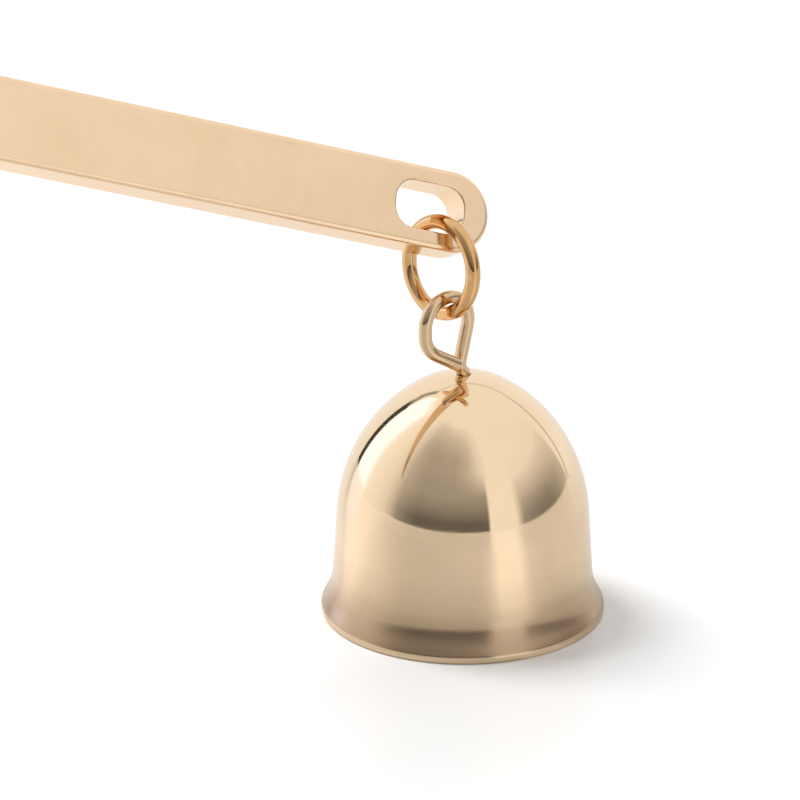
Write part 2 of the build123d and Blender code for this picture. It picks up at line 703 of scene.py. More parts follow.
@dataclass(frozen=True)
class Hang:
    """Where the loose pieces hang from one another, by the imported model's own sizes."""

    crown_top: float = 24.6
    eye_yaw: float = 18.2
    eye_rise: float = 5.6
    eye_offset: float = 2.2
    loop_radius: float = 2.7
    eye_wire: float = 1.3
    ring_wire: float = 1.45
    ring_radius: float = 4.45
    ring_yaw: float = 20.7
    ring_tilt: float = 4.4
    ring_lean: float = 15.6
    link_clearance: float = 0.22
    handle_pitch: float = 18.0
    handle_roll: float = 29.0
    handle_width: float = 7.95
    handle_thickness: float = 3.7
    slot_side_wall: float = 1.65
    slot_end_wall: float = 2.75
    slot_end_clearance: float = 0.25
    hang_clearance: float = 0.2
    ring_set_back: float = 0.34

    def left(self, yaw: float) -> Vector:
        """Returns the level direction to the left, turned to the front by a yaw."""
        turn = math.radians(yaw)
        return LEFT * math.cos(turn) + FRONT * math.sin(turn)

    def front(self, yaw: float) -> Vector:
        """Returns the level direction to the front, turned to the right by a yaw."""
        return UP.cross(self.left(yaw))

    def loop_centre(self) -> Vector:
        """Returns the centre of the eye's loop."""
        return UP * (self.crown_top + self.eye_rise) + self.left(self.eye_yaw) * self.eye_offset

    def ring_axes(self) -> tuple[Vector, Vector, Vector]:
        """Works out the directions out of the ring's plane, level in it and up it.

        Returns:
            The three unit vectors.
        """
        tilt = math.radians(self.ring_tilt)
        normal = self.left(self.ring_yaw) * math.cos(tilt) + UP * math.sin(tilt)
        level = self.front(self.ring_yaw)
        return normal, level, normal.cross(level)

    def ring_centre(self) -> Vector:
        """Finds the centre of the ring, which leans back above the eye's loop.

        Returns:
            The centre.
        """
        lean = math.radians(self.ring_lean)
        _, level, upward = self.ring_axes()
        rise = self.loop_radius - self.eye_wire / 2 - self.ring_wire / 2 - self.link_clearance
        spoke = upward * math.cos(lean) - level * math.sin(lean)
        return self.loop_centre() + UP * rise + spoke * self.ring_radius

    def handle_axes(self) -> tuple[Vector, Vector, Vector]:
        """Works out the directions along the handle, up across its front face and out of it.

        Returns:
            The three unit vectors.
        """
        pitch, roll = math.radians(self.handle_pitch), math.radians(self.handle_roll)
        along = LEFT * math.cos(pitch) + UP * math.sin(pitch)
        upright = along.cross(FRONT)
        across = upright * math.cos(roll) - FRONT * math.sin(roll)
        return along, across, FRONT * math.cos(roll) + upright * math.sin(roll)

    def handle_end(self) -> Vector:
        """Finds the centre of the handle's low round end, on its front face.

        Returns:
            The centre.
        """
        along, across, out = self.handle_axes()
        inside = self.ring_radius - self.ring_wire / 2 - self.hang_clearance
        set_back = self.handle_thickness / 2 + self.ring_set_back
        strip = math.sqrt(inside**2 - set_back**2) - self.slot_side_wall / 2
        rise = strip + self.handle_width / 2 - self.slot_side_wall / 2
        stand = self.handle_width / 2 - self.slot_end_wall - self.ring_wire / 2
        stand -= self.slot_end_clearance
        return self.ring_centre() + along * stand + across * rise + out * set_back


@dataclass
class Piece:
    """A finished piece and what it stands for."""

    finish: PolishedGold
    body: Body
    slot: Slot
    node: str

    def dress(self, made: Object) -> Object:
        """Gives a piece its finish and its body, and puts it in the node's place.

        Args:
            made: The piece's mesh object.

        Returns:
            The same object.
        """
        made.data.materials.clear()
        made.data.materials.append(self.finish.make())
        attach(made, self.body.value)
        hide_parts(self.node)
        log.info("%s: %d faces", made.name, len(made.data.polygons))
        return made


@dataclass(frozen=True)
class Skin:
    """One side of the bell's skin: its arcs, and where arcs and straight runs meet."""

    crown: Vector
    crown_radius: float
    crown_end: Vector
    haunch: Vector
    wall_top: Vector
    bend: Vector
    bend_radius: float
    foot: Vector


@dataclass
class Bell(Piece):
    """Thin bell with a rounded dome, nearly straight walls and a flared lip."""

    height: float = Hang.crown_top
    shell: float = 0.75
    lip_radius: float = 14.0
    lip_edge: float = 0.7
    lip_rounding: float = 0.2
    flare_height: float = 2.7
    flare_bend: float = 6.5
    wall_radius: float = 12.9
    wall_taper: float = 3.6
    haunch_radius: float = 16.2
    crown_radius: float = 9.0
    hole_radius: float = 0.71
    hole_rounding: float = 0.05
    turns: int = 288
    bend_step: float = 1.5
    rim_segments: int = 4
    sharp_from: float = 50.0

    def build(self) -> Object:
        """Draws the skin's outline and spins it about the bell's axis.

        Returns:
            The bell.
        """
        outer, inner = self.skin(0.0), self.skin(self.shell)
        former = start_outline("bell_polished", self.on_crown(outer))
        former.step = self.bend_step
        self.draw_down(former, outer)
        former.run_to(self.at(self.lip_radius, 0))
        former.run_to(inner.foot)
        self.draw_up(former, inner)
        former.run_to(self.on_crown(outer))
        bell = former.piece
        bpy.ops.mesh.select_all(action="SELECT")
        bpy.ops.mesh.remove_doubles(threshold=SEAM_GAP * MILLIMETRE)
        bpy.ops.mesh.spin(steps=self.turns, angle=math.tau, center=(0, 0, 0), axis=UP)
        self.break_edges(bell)
        stop_editing()
        close_seams()
        shade(bell, self.sharp_from)
        return self.dress(bell)

    def at(self, radius: float, height: float) -> Vector:
        """Returns the place at a radius and a height, in the plane of the outline."""
        return Vector((radius, 0, height))

    def skin(self, inset: float) -> Skin:
        """Works out one side of the skin.

        Args:
            inset: How far the side lies inside the outer surface.

        Returns:
            The side's arcs and places.
        """
        taper = math.radians(self.wall_taper)
        side = self.at(math.cos(taper), math.sin(taper))
        corner = self.at(self.wall_radius, self.flare_height)
        slope = (self.at(self.lip_radius, self.lip_edge) - corner).normalized()
        face = self.at(-slope.z, slope.x)
        crown = self.at(0, self.height - self.crown_radius)
        step = self.haunch_radius - self.crown_radius
        reach = (self.haunch_radius - corner.dot(side) + crown.dot(side)) / step
        turn = taper + math.acos(reach)
        join = self.at(math.cos(turn), math.sin(turn))
        haunch = crown - join * step
        bend = corner - (side + face) * (inset / (1 + side.dot(face)))
        foot_height = 0 if inset else self.lip_edge
        return Skin(
            crown=crown,
            crown_radius=self.crown_radius - inset,
            crown_end=crown + join * (self.crown_radius - inset),
            haunch=haunch,
            wall_top=haunch + side * (self.haunch_radius - inset),
            bend=bend,
            bend_radius=self.flare_bend + inset,
            foot=bend + slope * ((foot_height - bend.z) / slope.z),
        )

    def on_crown(self, side: Skin) -> Vector:
        """Returns the place where a side of the skin meets the hole."""
        rise = math.sqrt(side.crown_radius**2 - self.hole_radius**2)
        return self.at(self.hole_radius, side.crown.z + rise)

    def draw_down(self, former: Former, side: Skin) -> None:
        """Draws the outer side from the hole to the lip.

        Args:
            former: The outline's former.
            side: The outer side.
        """
        former.arc_to(side.crown_end, side.crown)
        former.arc_to(side.wall_top, side.haunch)
        former.round_corner(side.bend, side.foot, side.bend_radius)
        former.run_to(side.foot)

    def draw_up(self, former: Former, side: Skin) -> None:
        """Draws the inner side from the lip to the hole.

        Args:
            former: The outline's former.
            side: The inner side.
        """
        former.round_corner(side.bend, side.wall_top, side.bend_radius)
        former.run_to(side.wall_top)
        former.arc_to(side.crown_end, side.haunch)
        former.arc_to(self.on_crown(side), side.crown)

    def break_edges(self, bell: Object) -> None:
        """Rounds the lip's two outer edges and the hole's two edges.

        Args:
            bell: The spun bell, in edit mode.
        """
        rims = [
            (lambda p: math.hypot(p.x, p.y) > self.lip_radius - NEAR, self.lip_rounding),
            (lambda p: math.hypot(p.x, p.y) < self.hole_radius + NEAR, self.hole_rounding),
        ]
        for wanted, rounding in rims:
            pick_points(bell, wanted)
            bpy.ops.mesh.select_mode(type=Pick.EDGES.value)
            keep_level_edges(bell)
            bevel_picked(rounding, self.rim_segments)


@dataclass
class Eye(Piece):
    """One wire bent to a loop, with a free tail and with its stem headed inside the bell."""

    hang: Hang = field(default_factory=Hang)
    stem_lean: float = 14.4
    kink_rise: float = 0.9
    foot_rise: float = 0.2
    stem_bend: float = 0.78
    tail_bend: float = 2.4
    tail_corner_rise: float = 3.5
    tail_end_rise: float = 1.5
    tail_turn: float = 43.0
    tail_clearance: float = 0.15
    head_top: float = 23.53
    head_radius: float = 1.4
    head_thickness: float = 0.7
    head_rounding: float = 0.2
    head_segments: int = 5
    edge_break: float = 0.08
    sides: int = 48
    bend_step: float = 6.0
    sharp_from: float = 60.0

    def build(self) -> Object:
        """Leads the wire up the stem, over the loop and down to the tail, and heads the stem.

        Returns:
            The eye.
        """
        hang = self.hang
        radius = hang.eye_wire / 2
        bottom = self.head_middle()
        former = start_wire("bell_eye_bent", bottom, UP, radius, self.sides)
        former.step = self.bend_step
        kink = self.stem_point(self.kink_rise)
        former.round_corner(self.at(0, self.foot_rise), kink, self.stem_bend)
        former.round_corner(kink, self.stem_point(self.stem_top()), self.stem_bend)
        former.run_to(self.stem_point(self.stem_top()))
        former.turn_about(hang.loop_centre(), hang.front(hang.eye_yaw), 180 + self.stem_lean)
        side = hang.eye_offset + hang.loop_radius
        end = self.tail_end()
        former.round_corner(self.at(side, self.tail_corner_rise), end, self.tail_bend)
        former.run_to(end)
        cap_wire(former.piece, [bottom, end], radius, self.edge_break)
        close_seams()
        eye = self.add_head(former.piece)
        shade(eye, self.sharp_from)
        return self.dress(eye)

    def at(self, left: float, rise: float) -> Vector:
        """Returns a place in the eye's plane, left of the bell's axis and above its top."""
        return UP * (self.hang.crown_top + rise) + self.hang.left(self.hang.eye_yaw) * left

    def head_middle(self) -> Vector:
        """Returns the middle of the head, where the wire begins."""
        return UP * (self.head_top - self.head_thickness / 2)

    def stem_top(self) -> float:
        """Returns the height at which the stem runs into the loop."""
        return self.hang.eye_rise - self.hang.loop_radius * math.sin(math.radians(self.stem_lean))

    def stem_point(self, rise: float) -> Vector:
        """Finds the middle of the leaning stem at a height.

        Args:
            rise: The height above the bell's top.

        Returns:
            The middle.
        """
        lean = math.radians(self.stem_lean)
        top = self.hang.eye_offset - self.hang.loop_radius * math.cos(lean)
        return self.at(top + (self.stem_top() - rise) * math.tan(lean), rise)

    def tail_end(self) -> Vector:
        """Finds the middle of the tail's cut end, beside the stem and to its front.

        Returns:
            The middle.
        """
        turn = math.radians(self.tail_turn)
        yaw = self.hang.eye_yaw
        sideways = self.hang.left(yaw) * math.cos(turn) + self.hang.front(yaw) * math.sin(turn)
        reach = self.hang.eye_wire + self.tail_clearance
        return self.stem_point(self.tail_end_rise) + sideways * reach

    def add_head(self, wire: Object) -> Object:
        """Joins a round head to the stem's end under the bell's top.

        Args:
            wire: The bent wire.

        Returns:
            The wire with its head.
        """
        clear_selection()
        bpy.ops.mesh.primitive_cylinder_add(
            vertices=2 * self.sides,
            radius=self.head_radius * MILLIMETRE,
            depth=self.head_thickness * MILLIMETRE,
            location=to_metres(self.head_middle()),
        )
        head = bpy.context.object
        start_editing(Pick.EDGES)
        rim = self.head_radius - EDGE_REACH
        pick_points(head, lambda place: math.hypot(place.x, place.y) > rim)
        bpy.ops.mesh.select_mode(type=Pick.EDGES.value)
        keep_level_edges(head)
        bevel_picked(self.head_rounding, self.head_segments)
        stop_editing()
        settle(head)
        join = wire.modifiers.new("head", "BOOLEAN")
        join.operation, join.object, join.solver = "UNION", head, "EXACT"
        activate(wire)
        bpy.ops.object.modifier_apply(modifier=join.name)
        bpy.data.objects.remove(head)
        return wire


@dataclass
class JumpRing(Piece):
    """Round wire bent to a ring, its two cut ends butted at a fine seam."""

    hang: Hang = field(default_factory=Hang)
    seam: float = 0.06
    seam_turn: float = -6.0
    edge_break: float = 0.05
    pick_depth: float = 0.005
    sides: int = 48
    bend_step: float = 2.5
    sharp_from: float = 60.0

    def build(self) -> Object:
        """Leads the wire almost once round the ring's axis.

        Returns:
            The ring.
        """
        hang = self.hang
        normal, level, upward = hang.ring_axes()
        turn = math.radians(self.seam_turn)
        spoke = upward * -math.cos(turn) - level * math.sin(turn)
        centre = hang.ring_centre()
        start = centre + spoke * hang.ring_radius
        heading = normal.cross(spoke)
        former = start_wire("jump_ring_bent", start, heading, hang.ring_wire / 2, self.sides)
        former.step = self.bend_step
        former.turn_about(centre, normal, 360 - math.degrees(self.seam / hang.ring_radius))
        self.cap_seam(former, start, centre, normal)
        shade(former.piece, self.sharp_from)
        return self.dress(former.piece)

    def cap_seam(self, former: Former, start: Vector, centre: Vector, normal: Vector) -> None:
        """Closes the two cut ends, which lie too near each other to be picked by distance.

        Args:
            former: The ring's former, in edit mode.
            start: The middle of the first end.
            centre: The ring's centre.
            normal: The ring's axis.
        """
        for end in (start, former.place):
            heading = normal.cross(end - centre).normalized()
            pick_points(
                former.piece,
                lambda place: abs((place - end).dot(heading)) < self.pick_depth
                and (place - end).length < self.hang.ring_wire,
            )
            bpy.ops.mesh.edge_face_add()
            bpy.ops.mesh.select_mode(type=Pick.EDGES.value)
            bevel_picked(self.edge_break, CUT_SEGMENTS)
        bpy.ops.mesh.select_all(action="SELECT")
        bpy.ops.mesh.normals_make_consistent(inside=False)
        stop_editing()


@dataclass
class Handle(Piece):
    """Flat bar with round ends and a slot near its low end."""

    hang: Hang = field(default_factory=Hang)
    length: float = 176.0
    slot_length: float = 7.3
    slot_corner: float = 2.0
    rounding: float = 0.5
    slot_rounding: float = 0.2
    border: float = 0.3
    edge_segments: int = 6
    end_points: int = 144
    slot_points: int = 96

    def build(self) -> Object:
        """Stretches a disc to the bar, cuts the slot through it and rounds its edges.

        Returns:
            The handle.
        """
        hang = self.hang
        radius = hang.handle_width / 2
        bar = self.stretched("handle_bar", radius, self.end_points, 0.0, 0.0, hang.handle_thickness)
        self.move_points(bar, lambda place: place.x > 0, Vector((self.length - 2 * radius, 0, 0)))
        slot_width = hang.handle_width - 2 * hang.slot_side_wall
        corners_width = 2 * self.slot_corner
        spare = Vector((self.slot_length - corners_width, slot_width - corners_width, 0))
        start = hang.slot_end_wall - radius + self.slot_corner
        depth = 2 * hang.handle_thickness
        cutter = self.stretched(
            "slot_cutter", self.slot_corner, self.slot_points, start, -spare.y / 2, depth
        )
        self.move_points(cutter, lambda place: place.x > start, Vector((spare.x, 0, 0)))
        self.move_points(cutter, lambda place: place.y > -spare.y / 2, Vector((0, spare.y, 0)))
        self.cut(bar, cutter)
        self.split_flats(bar)
        self.weigh_edges(bar)
        self.round_edges(bar)
        self.border_flats(bar)
        self.level_flats(bar)
        self.place(bar)
        return self.dress(bar)

    def stretched(
        self, name: str, radius: float, points: int, x: float, y: float, thickness: float
    ) -> Object:
        """Makes an upright disc of some thickness with no point on its own axes.

        Args:
            name: The object's name.
            radius: The disc's radius.
            points: How many points stand for its roundness.
            x: Its middle along the bar.
            y: Its middle across the bar.
            thickness: Its thickness, half of it on each side of the bar's middle plane.

        Returns:
            The disc.
        """
        clear_selection()
        bpy.ops.mesh.primitive_circle_add(
            vertices=points,
            radius=radius * MILLIMETRE,
            fill_type="NGON",
            location=to_metres(Vector((x, y, -thickness / 2))),
            rotation=(0, 0, math.pi / points),
        )
        disc = take_up(name, Pick.FACES)
        rise = to_metres(Vector((0, 0, thickness)))
        bpy.ops.mesh.extrude_region_move(TRANSFORM_OT_translate={"value": rise})
        bpy.ops.mesh.select_all(action="SELECT")
        bpy.ops.mesh.normals_make_consistent(inside=False)
        stop_editing()
        return disc

    def move_points(self, disc: Object, wanted: Callable[[Vector], bool], offset: Vector) -> None:
        """Moves the points on one side of a disc, which stretches it.

        Args:
            disc: The disc.
            wanted: Tells which points move.
            offset: How far they move.
        """
        activate(disc)
        start_editing(Pick.POINTS)
        pick_points(disc, wanted)
        bpy.ops.transform.translate(value=to_metres(offset))
        stop_editing()

    def cut(self, bar: Object, cutter: Object) -> None:
        """Cuts the slot through the bar and removes the cutter.

        Args:
            bar: The bar.
            cutter: A body in the shape of the slot.
        """
        activate(bar)
        cut = bar.modifiers.new("slot", "BOOLEAN")
        cut.object = cutter
        cut.solver = "EXACT"
        bpy.ops.object.modifier_apply(modifier=cut.name)
        bpy.data.objects.remove(cutter)

    def split_flats(self, bar: Object) -> None:
        """Parts the two slotted flats along the middle line alone, so that none has a hole.

        Args:
            bar: The slotted bar, before it is placed.
        """
        half = self.hang.handle_thickness / 2
        activate(bar)
        start_editing(Pick.EDGES)
        bpy.ops.mesh.select_all(action="SELECT")
        bpy.ops.mesh.bisect(plane_co=(0, 0, 0), plane_no=(0, 1, 0))
        bpy.ops.mesh.select_all(action="DESELECT")
        mesh = bmesh.from_edit_mesh(bar.data)
        for edge in mesh.edges:
            places = [point.co / MILLIMETRE for point in edge.verts]
            on_flat = all(abs(abs(place.z) - half) < NEAR for place in places)
            on_middle = all(abs(place.y) < NEAR for place in places)
            edge.select_set(on_flat and not on_middle and edge.calc_face_angle(0.0) < COPLANAR)
        bmesh.update_edit_mesh(bar.data)
        bpy.ops.mesh.dissolve_edges(use_verts=False)
        stop_editing()

    def level_flats(self, bar: Object) -> None:
        """Points the normals of the bar's large flat faces straight out of them.

        Args:
            bar: The rounded bar, before it is placed.
        """
        normals = [corner.vector.copy() for corner in bar.data.corner_normals]
        for face in bar.data.polygons:
            if abs(face.normal.z) > UPRIGHT:
                for corner in face.loop_indices:
                    normals[corner] = face.normal.copy()
        bar.data.normals_split_custom_set(normals)

    def border_flats(self, bar: Object) -> None:
        """Insets the large flats a little, so that the wear of their edges ends in the border.

        Args:
            bar: The rounded bar, before it is placed.
        """
        start_editing(Pick.FACES)
        mesh = bmesh.from_edit_mesh(bar.data)
        for face in mesh.faces:
            face.select_set(abs(face.normal.z) > UPRIGHT and face.calc_area() > MILLIMETRE**2)
        bmesh.update_edit_mesh(bar.data)
        bpy.ops.mesh.inset(thickness=self.border * MILLIMETRE)
        stop_editing()

    def in_slot(self, place: Vector) -> bool:
        """Tells the slot's outline from the bar's.

        Args:
            place: The middle of a sharp edge of the bar, before the bar is placed.

        Returns:
            Whether the edge belongs to the slot.
        """
        radius = self.hang.handle_width / 2
        end = self.slot_length + self.hang.slot_end_wall - radius
        half_width = radius - self.hang.slot_side_wall
        beside = abs(place.y) < half_width + EDGE_REACH and place.x < end + EDGE_REACH
        on_end = place.x < 0 and math.hypot(place.x, place.y) > radius - EDGE_REACH
        return beside and not on_end

    def weigh_edges(self, bar: Object) -> None:
        """Gives each sharp edge of the flats its share of the full rounding.

        Args:
            bar: The slotted bar, before it is placed.
        """
        half = self.hang.handle_thickness / 2
        start_editing(Pick.EDGES)
        mesh = bmesh.from_edit_mesh(bar.data)
        weights = mesh.edges.layers.float.new("bevel_weight_edge")
        for edge in mesh.edges:
            middle = (edge.verts[0].co + edge.verts[1].co) / 2 / MILLIMETRE
            on_flat = all(abs(abs(point.co.z / MILLIMETRE) - half) < NEAR for point in edge.verts)
            if on_flat and edge.calc_face_angle(0.0) > SHARP:
                edge[weights] = self.slot_rounding / self.rounding if self.in_slot(middle) else 1.0
        bmesh.update_edit_mesh(bar.data)
        stop_editing()

    def round_edges(self, bar: Object) -> None:
        """Rounds the weighed edges and keeps the bar's faces flat to the eye.

        Args:
            bar: The bar with its weighed edges.
        """
        activate(bar)
        bpy.ops.object.shade_smooth()
        rounding = bar.modifiers.new("rounding", "BEVEL")
        rounding.limit_method = "WEIGHT"
        rounding.width = self.rounding * MILLIMETRE
        rounding.segments = self.edge_segments
        rounding.harden_normals = True
        rounding.use_clamp_overlap = False
        bpy.ops.object.modifier_apply(modifier=rounding.name)

    def place(self, bar: Object) -> None:
        """Turns and moves the bar to where it is held.

        Args:
            bar: The finished bar.
        """
        along, across, out = self.hang.handle_axes()
        end = self.hang.handle_end() - out * (self.hang.handle_thickness / 2)
        turn = axes_matrix(along, -across, out).to_4x4()
        bar.matrix_world = Matrix.Translation(to_metres(end)) @ turn
        settle(bar)


# Studio


def studio_direction(azimuth: float, elevation: float) -> Vector:
    """Finds the direction to a place in the studio, seen from the bell.

    Args:
        azimuth: The angle from the front, to the right of someone who looks from there.
        elevation: The angle above the floor.

    Returns:
        The unit vector that way.
    """
    turn, rise = math.radians(azimuth), math.radians(elevation)
    level = Vector((math.sin(turn), -math.cos(turn), 0))
    return level * math.cos(rise) + UP * math.sin(rise)


def show_in_metal_alone(card: Object) -> None:
    """Makes a card of the studio visible to mirrored rays only.

    Args:
        card: The card.
    """
    for ray in ("camera", "diffuse", "shadow", "volume_scatter", "transmission"):
        setattr(card, f"visible_{ray}", False)


@dataclass
class Viewpoint:
    """The camera, at the photograph's viewing angle, with its sizes in millimetres.

    The column and row are where the rim's centre shows, in a frame of so many pixels.
    """

    azimuth: float = -21.8
    elevation: float = 21.0
    distance: float = 396.6
    lens: float = 180.0
    sensor: float = 36.0
    frame: float = 800.0
    column: float = 462.3
    row: float = 605.6
    nearest: float = 10.0

    def build(self) -> Object:
        """Places the camera so that the rim's centre shows at its column and row.

        Returns:
            The camera.
        """
        turn, rise = math.radians(self.azimuth), math.radians(self.elevation)
        right = Vector((math.cos(turn), math.sin(turn), 0))
        back = studio_direction(self.azimuth, self.elevation)
        upward = back.cross(right)
        scale = self.distance * self.sensor / self.lens / self.frame
        aside = (self.column - self.frame / 2) * scale
        above = (self.frame / 2 - self.row) * scale
        place = back * self.distance - right * aside - upward * above
        data = bpy.data.cameras.new("viewpoint")
        data.lens, data.sensor_width = self.lens, self.sensor
        data.clip_start = self.nearest * MILLIMETRE
        camera = bpy.data.objects.new("viewpoint", data)
        camera.location = to_metres(place)
        camera.rotation_euler = (math.pi / 2 - rise, 0, turn)
        bpy.context.scene.collection.objects.link(camera)
        bpy.context.scene.camera = camera
        log.info("camera at %s mm", [round(number, 1) for number in place])
        return camera


@dataclass
class Floor:
    """Wide pale floor with a faint sheen, white where it is seen and partly where it is mirrored.

    The share of white in what the metal mirrors is painted light: pools of light painted round the
    bell by the pool profile, in degrees, and a lift that grows with distance by the far profile, in
    millimetres, which leaves the mirrored floor near the bell darker as painted shade.
    """

    width: float = 8.0
    tone: float = 0.64
    white: float = 0.98
    roughness: float = 0.32
    # Painted pools of light on the mirrored floor, by azimuth round the bell.
    painted_light_pools: Profile = (
        (-201.8, 0.6), (-150.0, 0.6), (-130.0, 0.9), (-112.0, 1.0), (-96.0, 0.4),
        (-76.0, 0.0), (-16.0, 0.0), (0.0, 0.4), (5.0, 1.0), (22.0, 1.0), (31.0, 0.3),
        (50.0, 0.0), (100.0, 0.0), (158.2, 0.6),
    )
    # Painted light on the mirrored floor that grows with distance from the bell.
    far: Profile = ((0.0, 0.0), (30.0, 0.05), (60.0, 0.2), (160.0, 0.4), (500.0, 0.5))

    def build(self) -> Object:
        """Lays the floor at the height of the rim.

        Returns:
            The floor.
        """
        clear_selection()
        bpy.ops.mesh.primitive_plane_add(size=self.width)
        floor = bpy.context.object
        floor.name = "floor"
        floor.data.materials.append(self.surface())
        return floor

    def surface(self) -> bpy.types.Material:
        """Builds the floor's material.

        Returns:
            A matt white that keeps the object's shadow.
        """
        material, bench = blank_material("pale_floor")
        shader = bench.add(
            "ShaderNodeBsdfPrincipled",
            Base_Color=self.colour(bench),
            Roughness=self.roughness,
        )
        bench.add("ShaderNodeOutputMaterial", Surface=shader.outputs["BSDF"])
        return material

    def colour(self, bench: NodeBench) -> Socket:
        """Makes the floor white for the eye, and paints pools of light and a lift with distance on
        what mirrors it.

        Args:
            bench: The material's bench.

        Returns:
            The floor's colour.
        """
        ray = bench.add("ShaderNodeLightPath")
        place = bench.add("ShaderNodeTexCoord").outputs["Object"]
        # Painted pools of light: the mirrored floor is whiter in some directions round the bell.
        around = bench.azimuth(place, (self.painted_light_pools[0][0] + self.painted_light_pools[-1][0]) / 2)
        painted_light_pools = bench.profile(around, self.painted_light_pools, math.radians)
        # Painted light that grows with distance, so the mirrored floor stays darker near the bell
        # as painted shade.
        reach = bench.add("ShaderNodeVectorMath", {"operation": "LENGTH"}, Vector=place)
        far = bench.profile(reach.outputs["Value"], self.far, lambda stop: stop * MILLIMETRE)
        glossy, transmitted = ray.outputs["Is Glossy Ray"], ray.outputs["Is Transmission Ray"]
        mirrored = bench.sum("MAXIMUM", glossy, transmitted)
        pale = bench.sum("MULTIPLY", mirrored, bench.sum("MAXIMUM", painted_light_pools, far))
        seen = bench.sum("MAXIMUM", pale, ray.outputs["Is Camera Ray"])
        return bench.mix(seen, grey(self.tone), grey(self.white))


@dataclass
class Card:
    """A curved card round the bell that only shows as a reflection in the polished metal.

    Its light is that of the white studio, changed by gain times a level, and its tint grows with
    that level. A layer is an azimuth profile and an elevation profile, which are multiplied, and
    the layers are added. A profile lists angles with a level from 0 to 1.
    """

    name: str
    gain: float
    layers: list[tuple[Profile, Profile]]
    tint: Colour = (1.0, 1.0, 1.0)
    distance: float = 2.6
    middle_height: float = 20.0
    column_step: float = 1.0

    def build(self) -> Object:
        """Bends a wall round the bell's axis and gives it its light.

        Returns:
            The card.
        """
        low, high = self.height(self.ends(1)[0]), self.height(self.ends(1)[1])
        first, last = self.ends(0)
        start = studio_direction(first, 0) * self.distance
        clear_selection()
        bpy.ops.mesh.primitive_plane_add(size=MILLIMETRE, location=start + UP * low)
        card = take_up(self.name, Pick.POINTS)
        bpy.ops.mesh.merge(type="CENTER")
        bpy.ops.mesh.extrude_region_move(TRANSFORM_OT_translate={"value": UP * (high - low)})
        bpy.ops.mesh.select_all(action="SELECT")
        turn = last - first
        steps = math.ceil(turn / self.column_step)
        bpy.ops.mesh.spin(steps=steps, angle=math.radians(turn), center=(0, 0, 0), axis=-UP)
        stop_editing()
        card.data.materials.append(self.light())
        show_in_metal_alone(card)
        return card

    def ends(self, which: int) -> tuple[float, float]:
        """Returns the card's outermost azimuths for 0, or its outermost elevations for 1."""
        profiles = [layer[which] for layer in self.layers]
        return min(stops[0][0] for stops in profiles), max(stops[-1][0] for stops in profiles)

    def height(self, elevation: float) -> float:
        """Returns the height on the card at an elevation seen from the bell's middle."""
        rise = self.distance * math.tan(math.radians(elevation))
        return rise + self.middle_height * MILLIMETRE

    def light(self) -> bpy.types.Material:
        """Builds the card's light from its layers.

        Returns:
            The card's material.
        """
        material, bench = blank_material(self.name)
        place = bench.add("ShaderNodeTexCoord").outputs["Object"]
        height = bench.add("ShaderNodeSeparateXYZ", Vector=place).outputs["Z"]
        around = bench.azimuth(place, sum(self.ends(0)) / 2)
        level: Feed = 0.0
        for azimuths, elevations in self.layers:
            across = bench.profile(around, azimuths, math.radians)
            up = bench.profile(height, elevations, self.height)
            level = bench.sum("MULTIPLY_ADD", across, up, level)
        strength = bench.sum("MULTIPLY_ADD", level, self.gain, 1.0)
        tinted = bench.mix(level, grey(1.0), (*self.tint, 1.0))
        shader = bench.add("ShaderNodeEmission", Color=tinted, Strength=strength)
        bench.add("ShaderNodeOutputMaterial", Surface=shader.outputs["Emission"])
        return material


@dataclass
class Strut:
    """A thin dark bar of the studio's frame, glowing a fixed grey, which only shows as a reflection
    in the metal.
    """

    name: str
    low: tuple[float, float]
    high: tuple[float, float]
    width: float
    # The grey that the bar glows with, as emitted light.
    tone: float
    distance: float = 2.4

    def build(self) -> Object:
        """Holds the bar up between two directions.

        Returns:
            The bar.
        """
        first = studio_direction(*self.low) * self.distance
        second = studio_direction(*self.high) * self.distance
        middle = (first + second) / 2
        along = (second - first).normalized()
        sideways = along.cross(middle).normalized()
        clear_selection()
        bpy.ops.mesh.primitive_plane_add(size=1.0)
        strut = bpy.context.object
        strut.name = self.name
        length = (second - first).length
        turn = axes_matrix(along, sideways, along.cross(sideways)).to_4x4()
        stretch = Matrix.Diagonal((length, self.width, 1.0, 1.0))
        strut.matrix_world = Matrix.Translation(middle) @ turn @ stretch
        settle(strut)
        strut.data.materials.append(self.grey_glow())
        show_in_metal_alone(strut)
        return strut

    def grey_glow(self) -> bpy.types.Material:
        """Builds the bar's grey glow, emitted light that takes no shade.

        Returns:
            The bar's material.
        """
        material, bench = blank_material(self.name)
        # The bar glows with its grey instead of being lit.
        shader = bench.add("ShaderNodeEmission", Color=grey(self.tone), Strength=1.0)
        bench.add("ShaderNodeOutputMaterial", Surface=shader.outputs["Emission"])
        return material


@dataclass
class Lamp:
    """A far soft lamp that lights the floor, casts the shadow and isn't mirrored in the metal."""

    name: str
    azimuth: float
    elevation: float
    spread: float
    power: float

    def build(self) -> Object:
        """Aims the lamp at the bell.

        Returns:
            The lamp.
        """
        data = bpy.data.lights.new(self.name, "SUN")
        data.angle, data.energy = math.radians(self.spread), self.power
        lamp = bpy.data.objects.new(self.name, data)
        way = studio_direction(self.azimuth, self.elevation)
        lamp.location = way
        lamp.rotation_euler = way.to_track_quat("Z", "Y").to_euler()
        lamp.visible_glossy = False
        lamp.visible_camera = False
        bpy.context.scene.collection.objects.link(lamp)
        return lamp


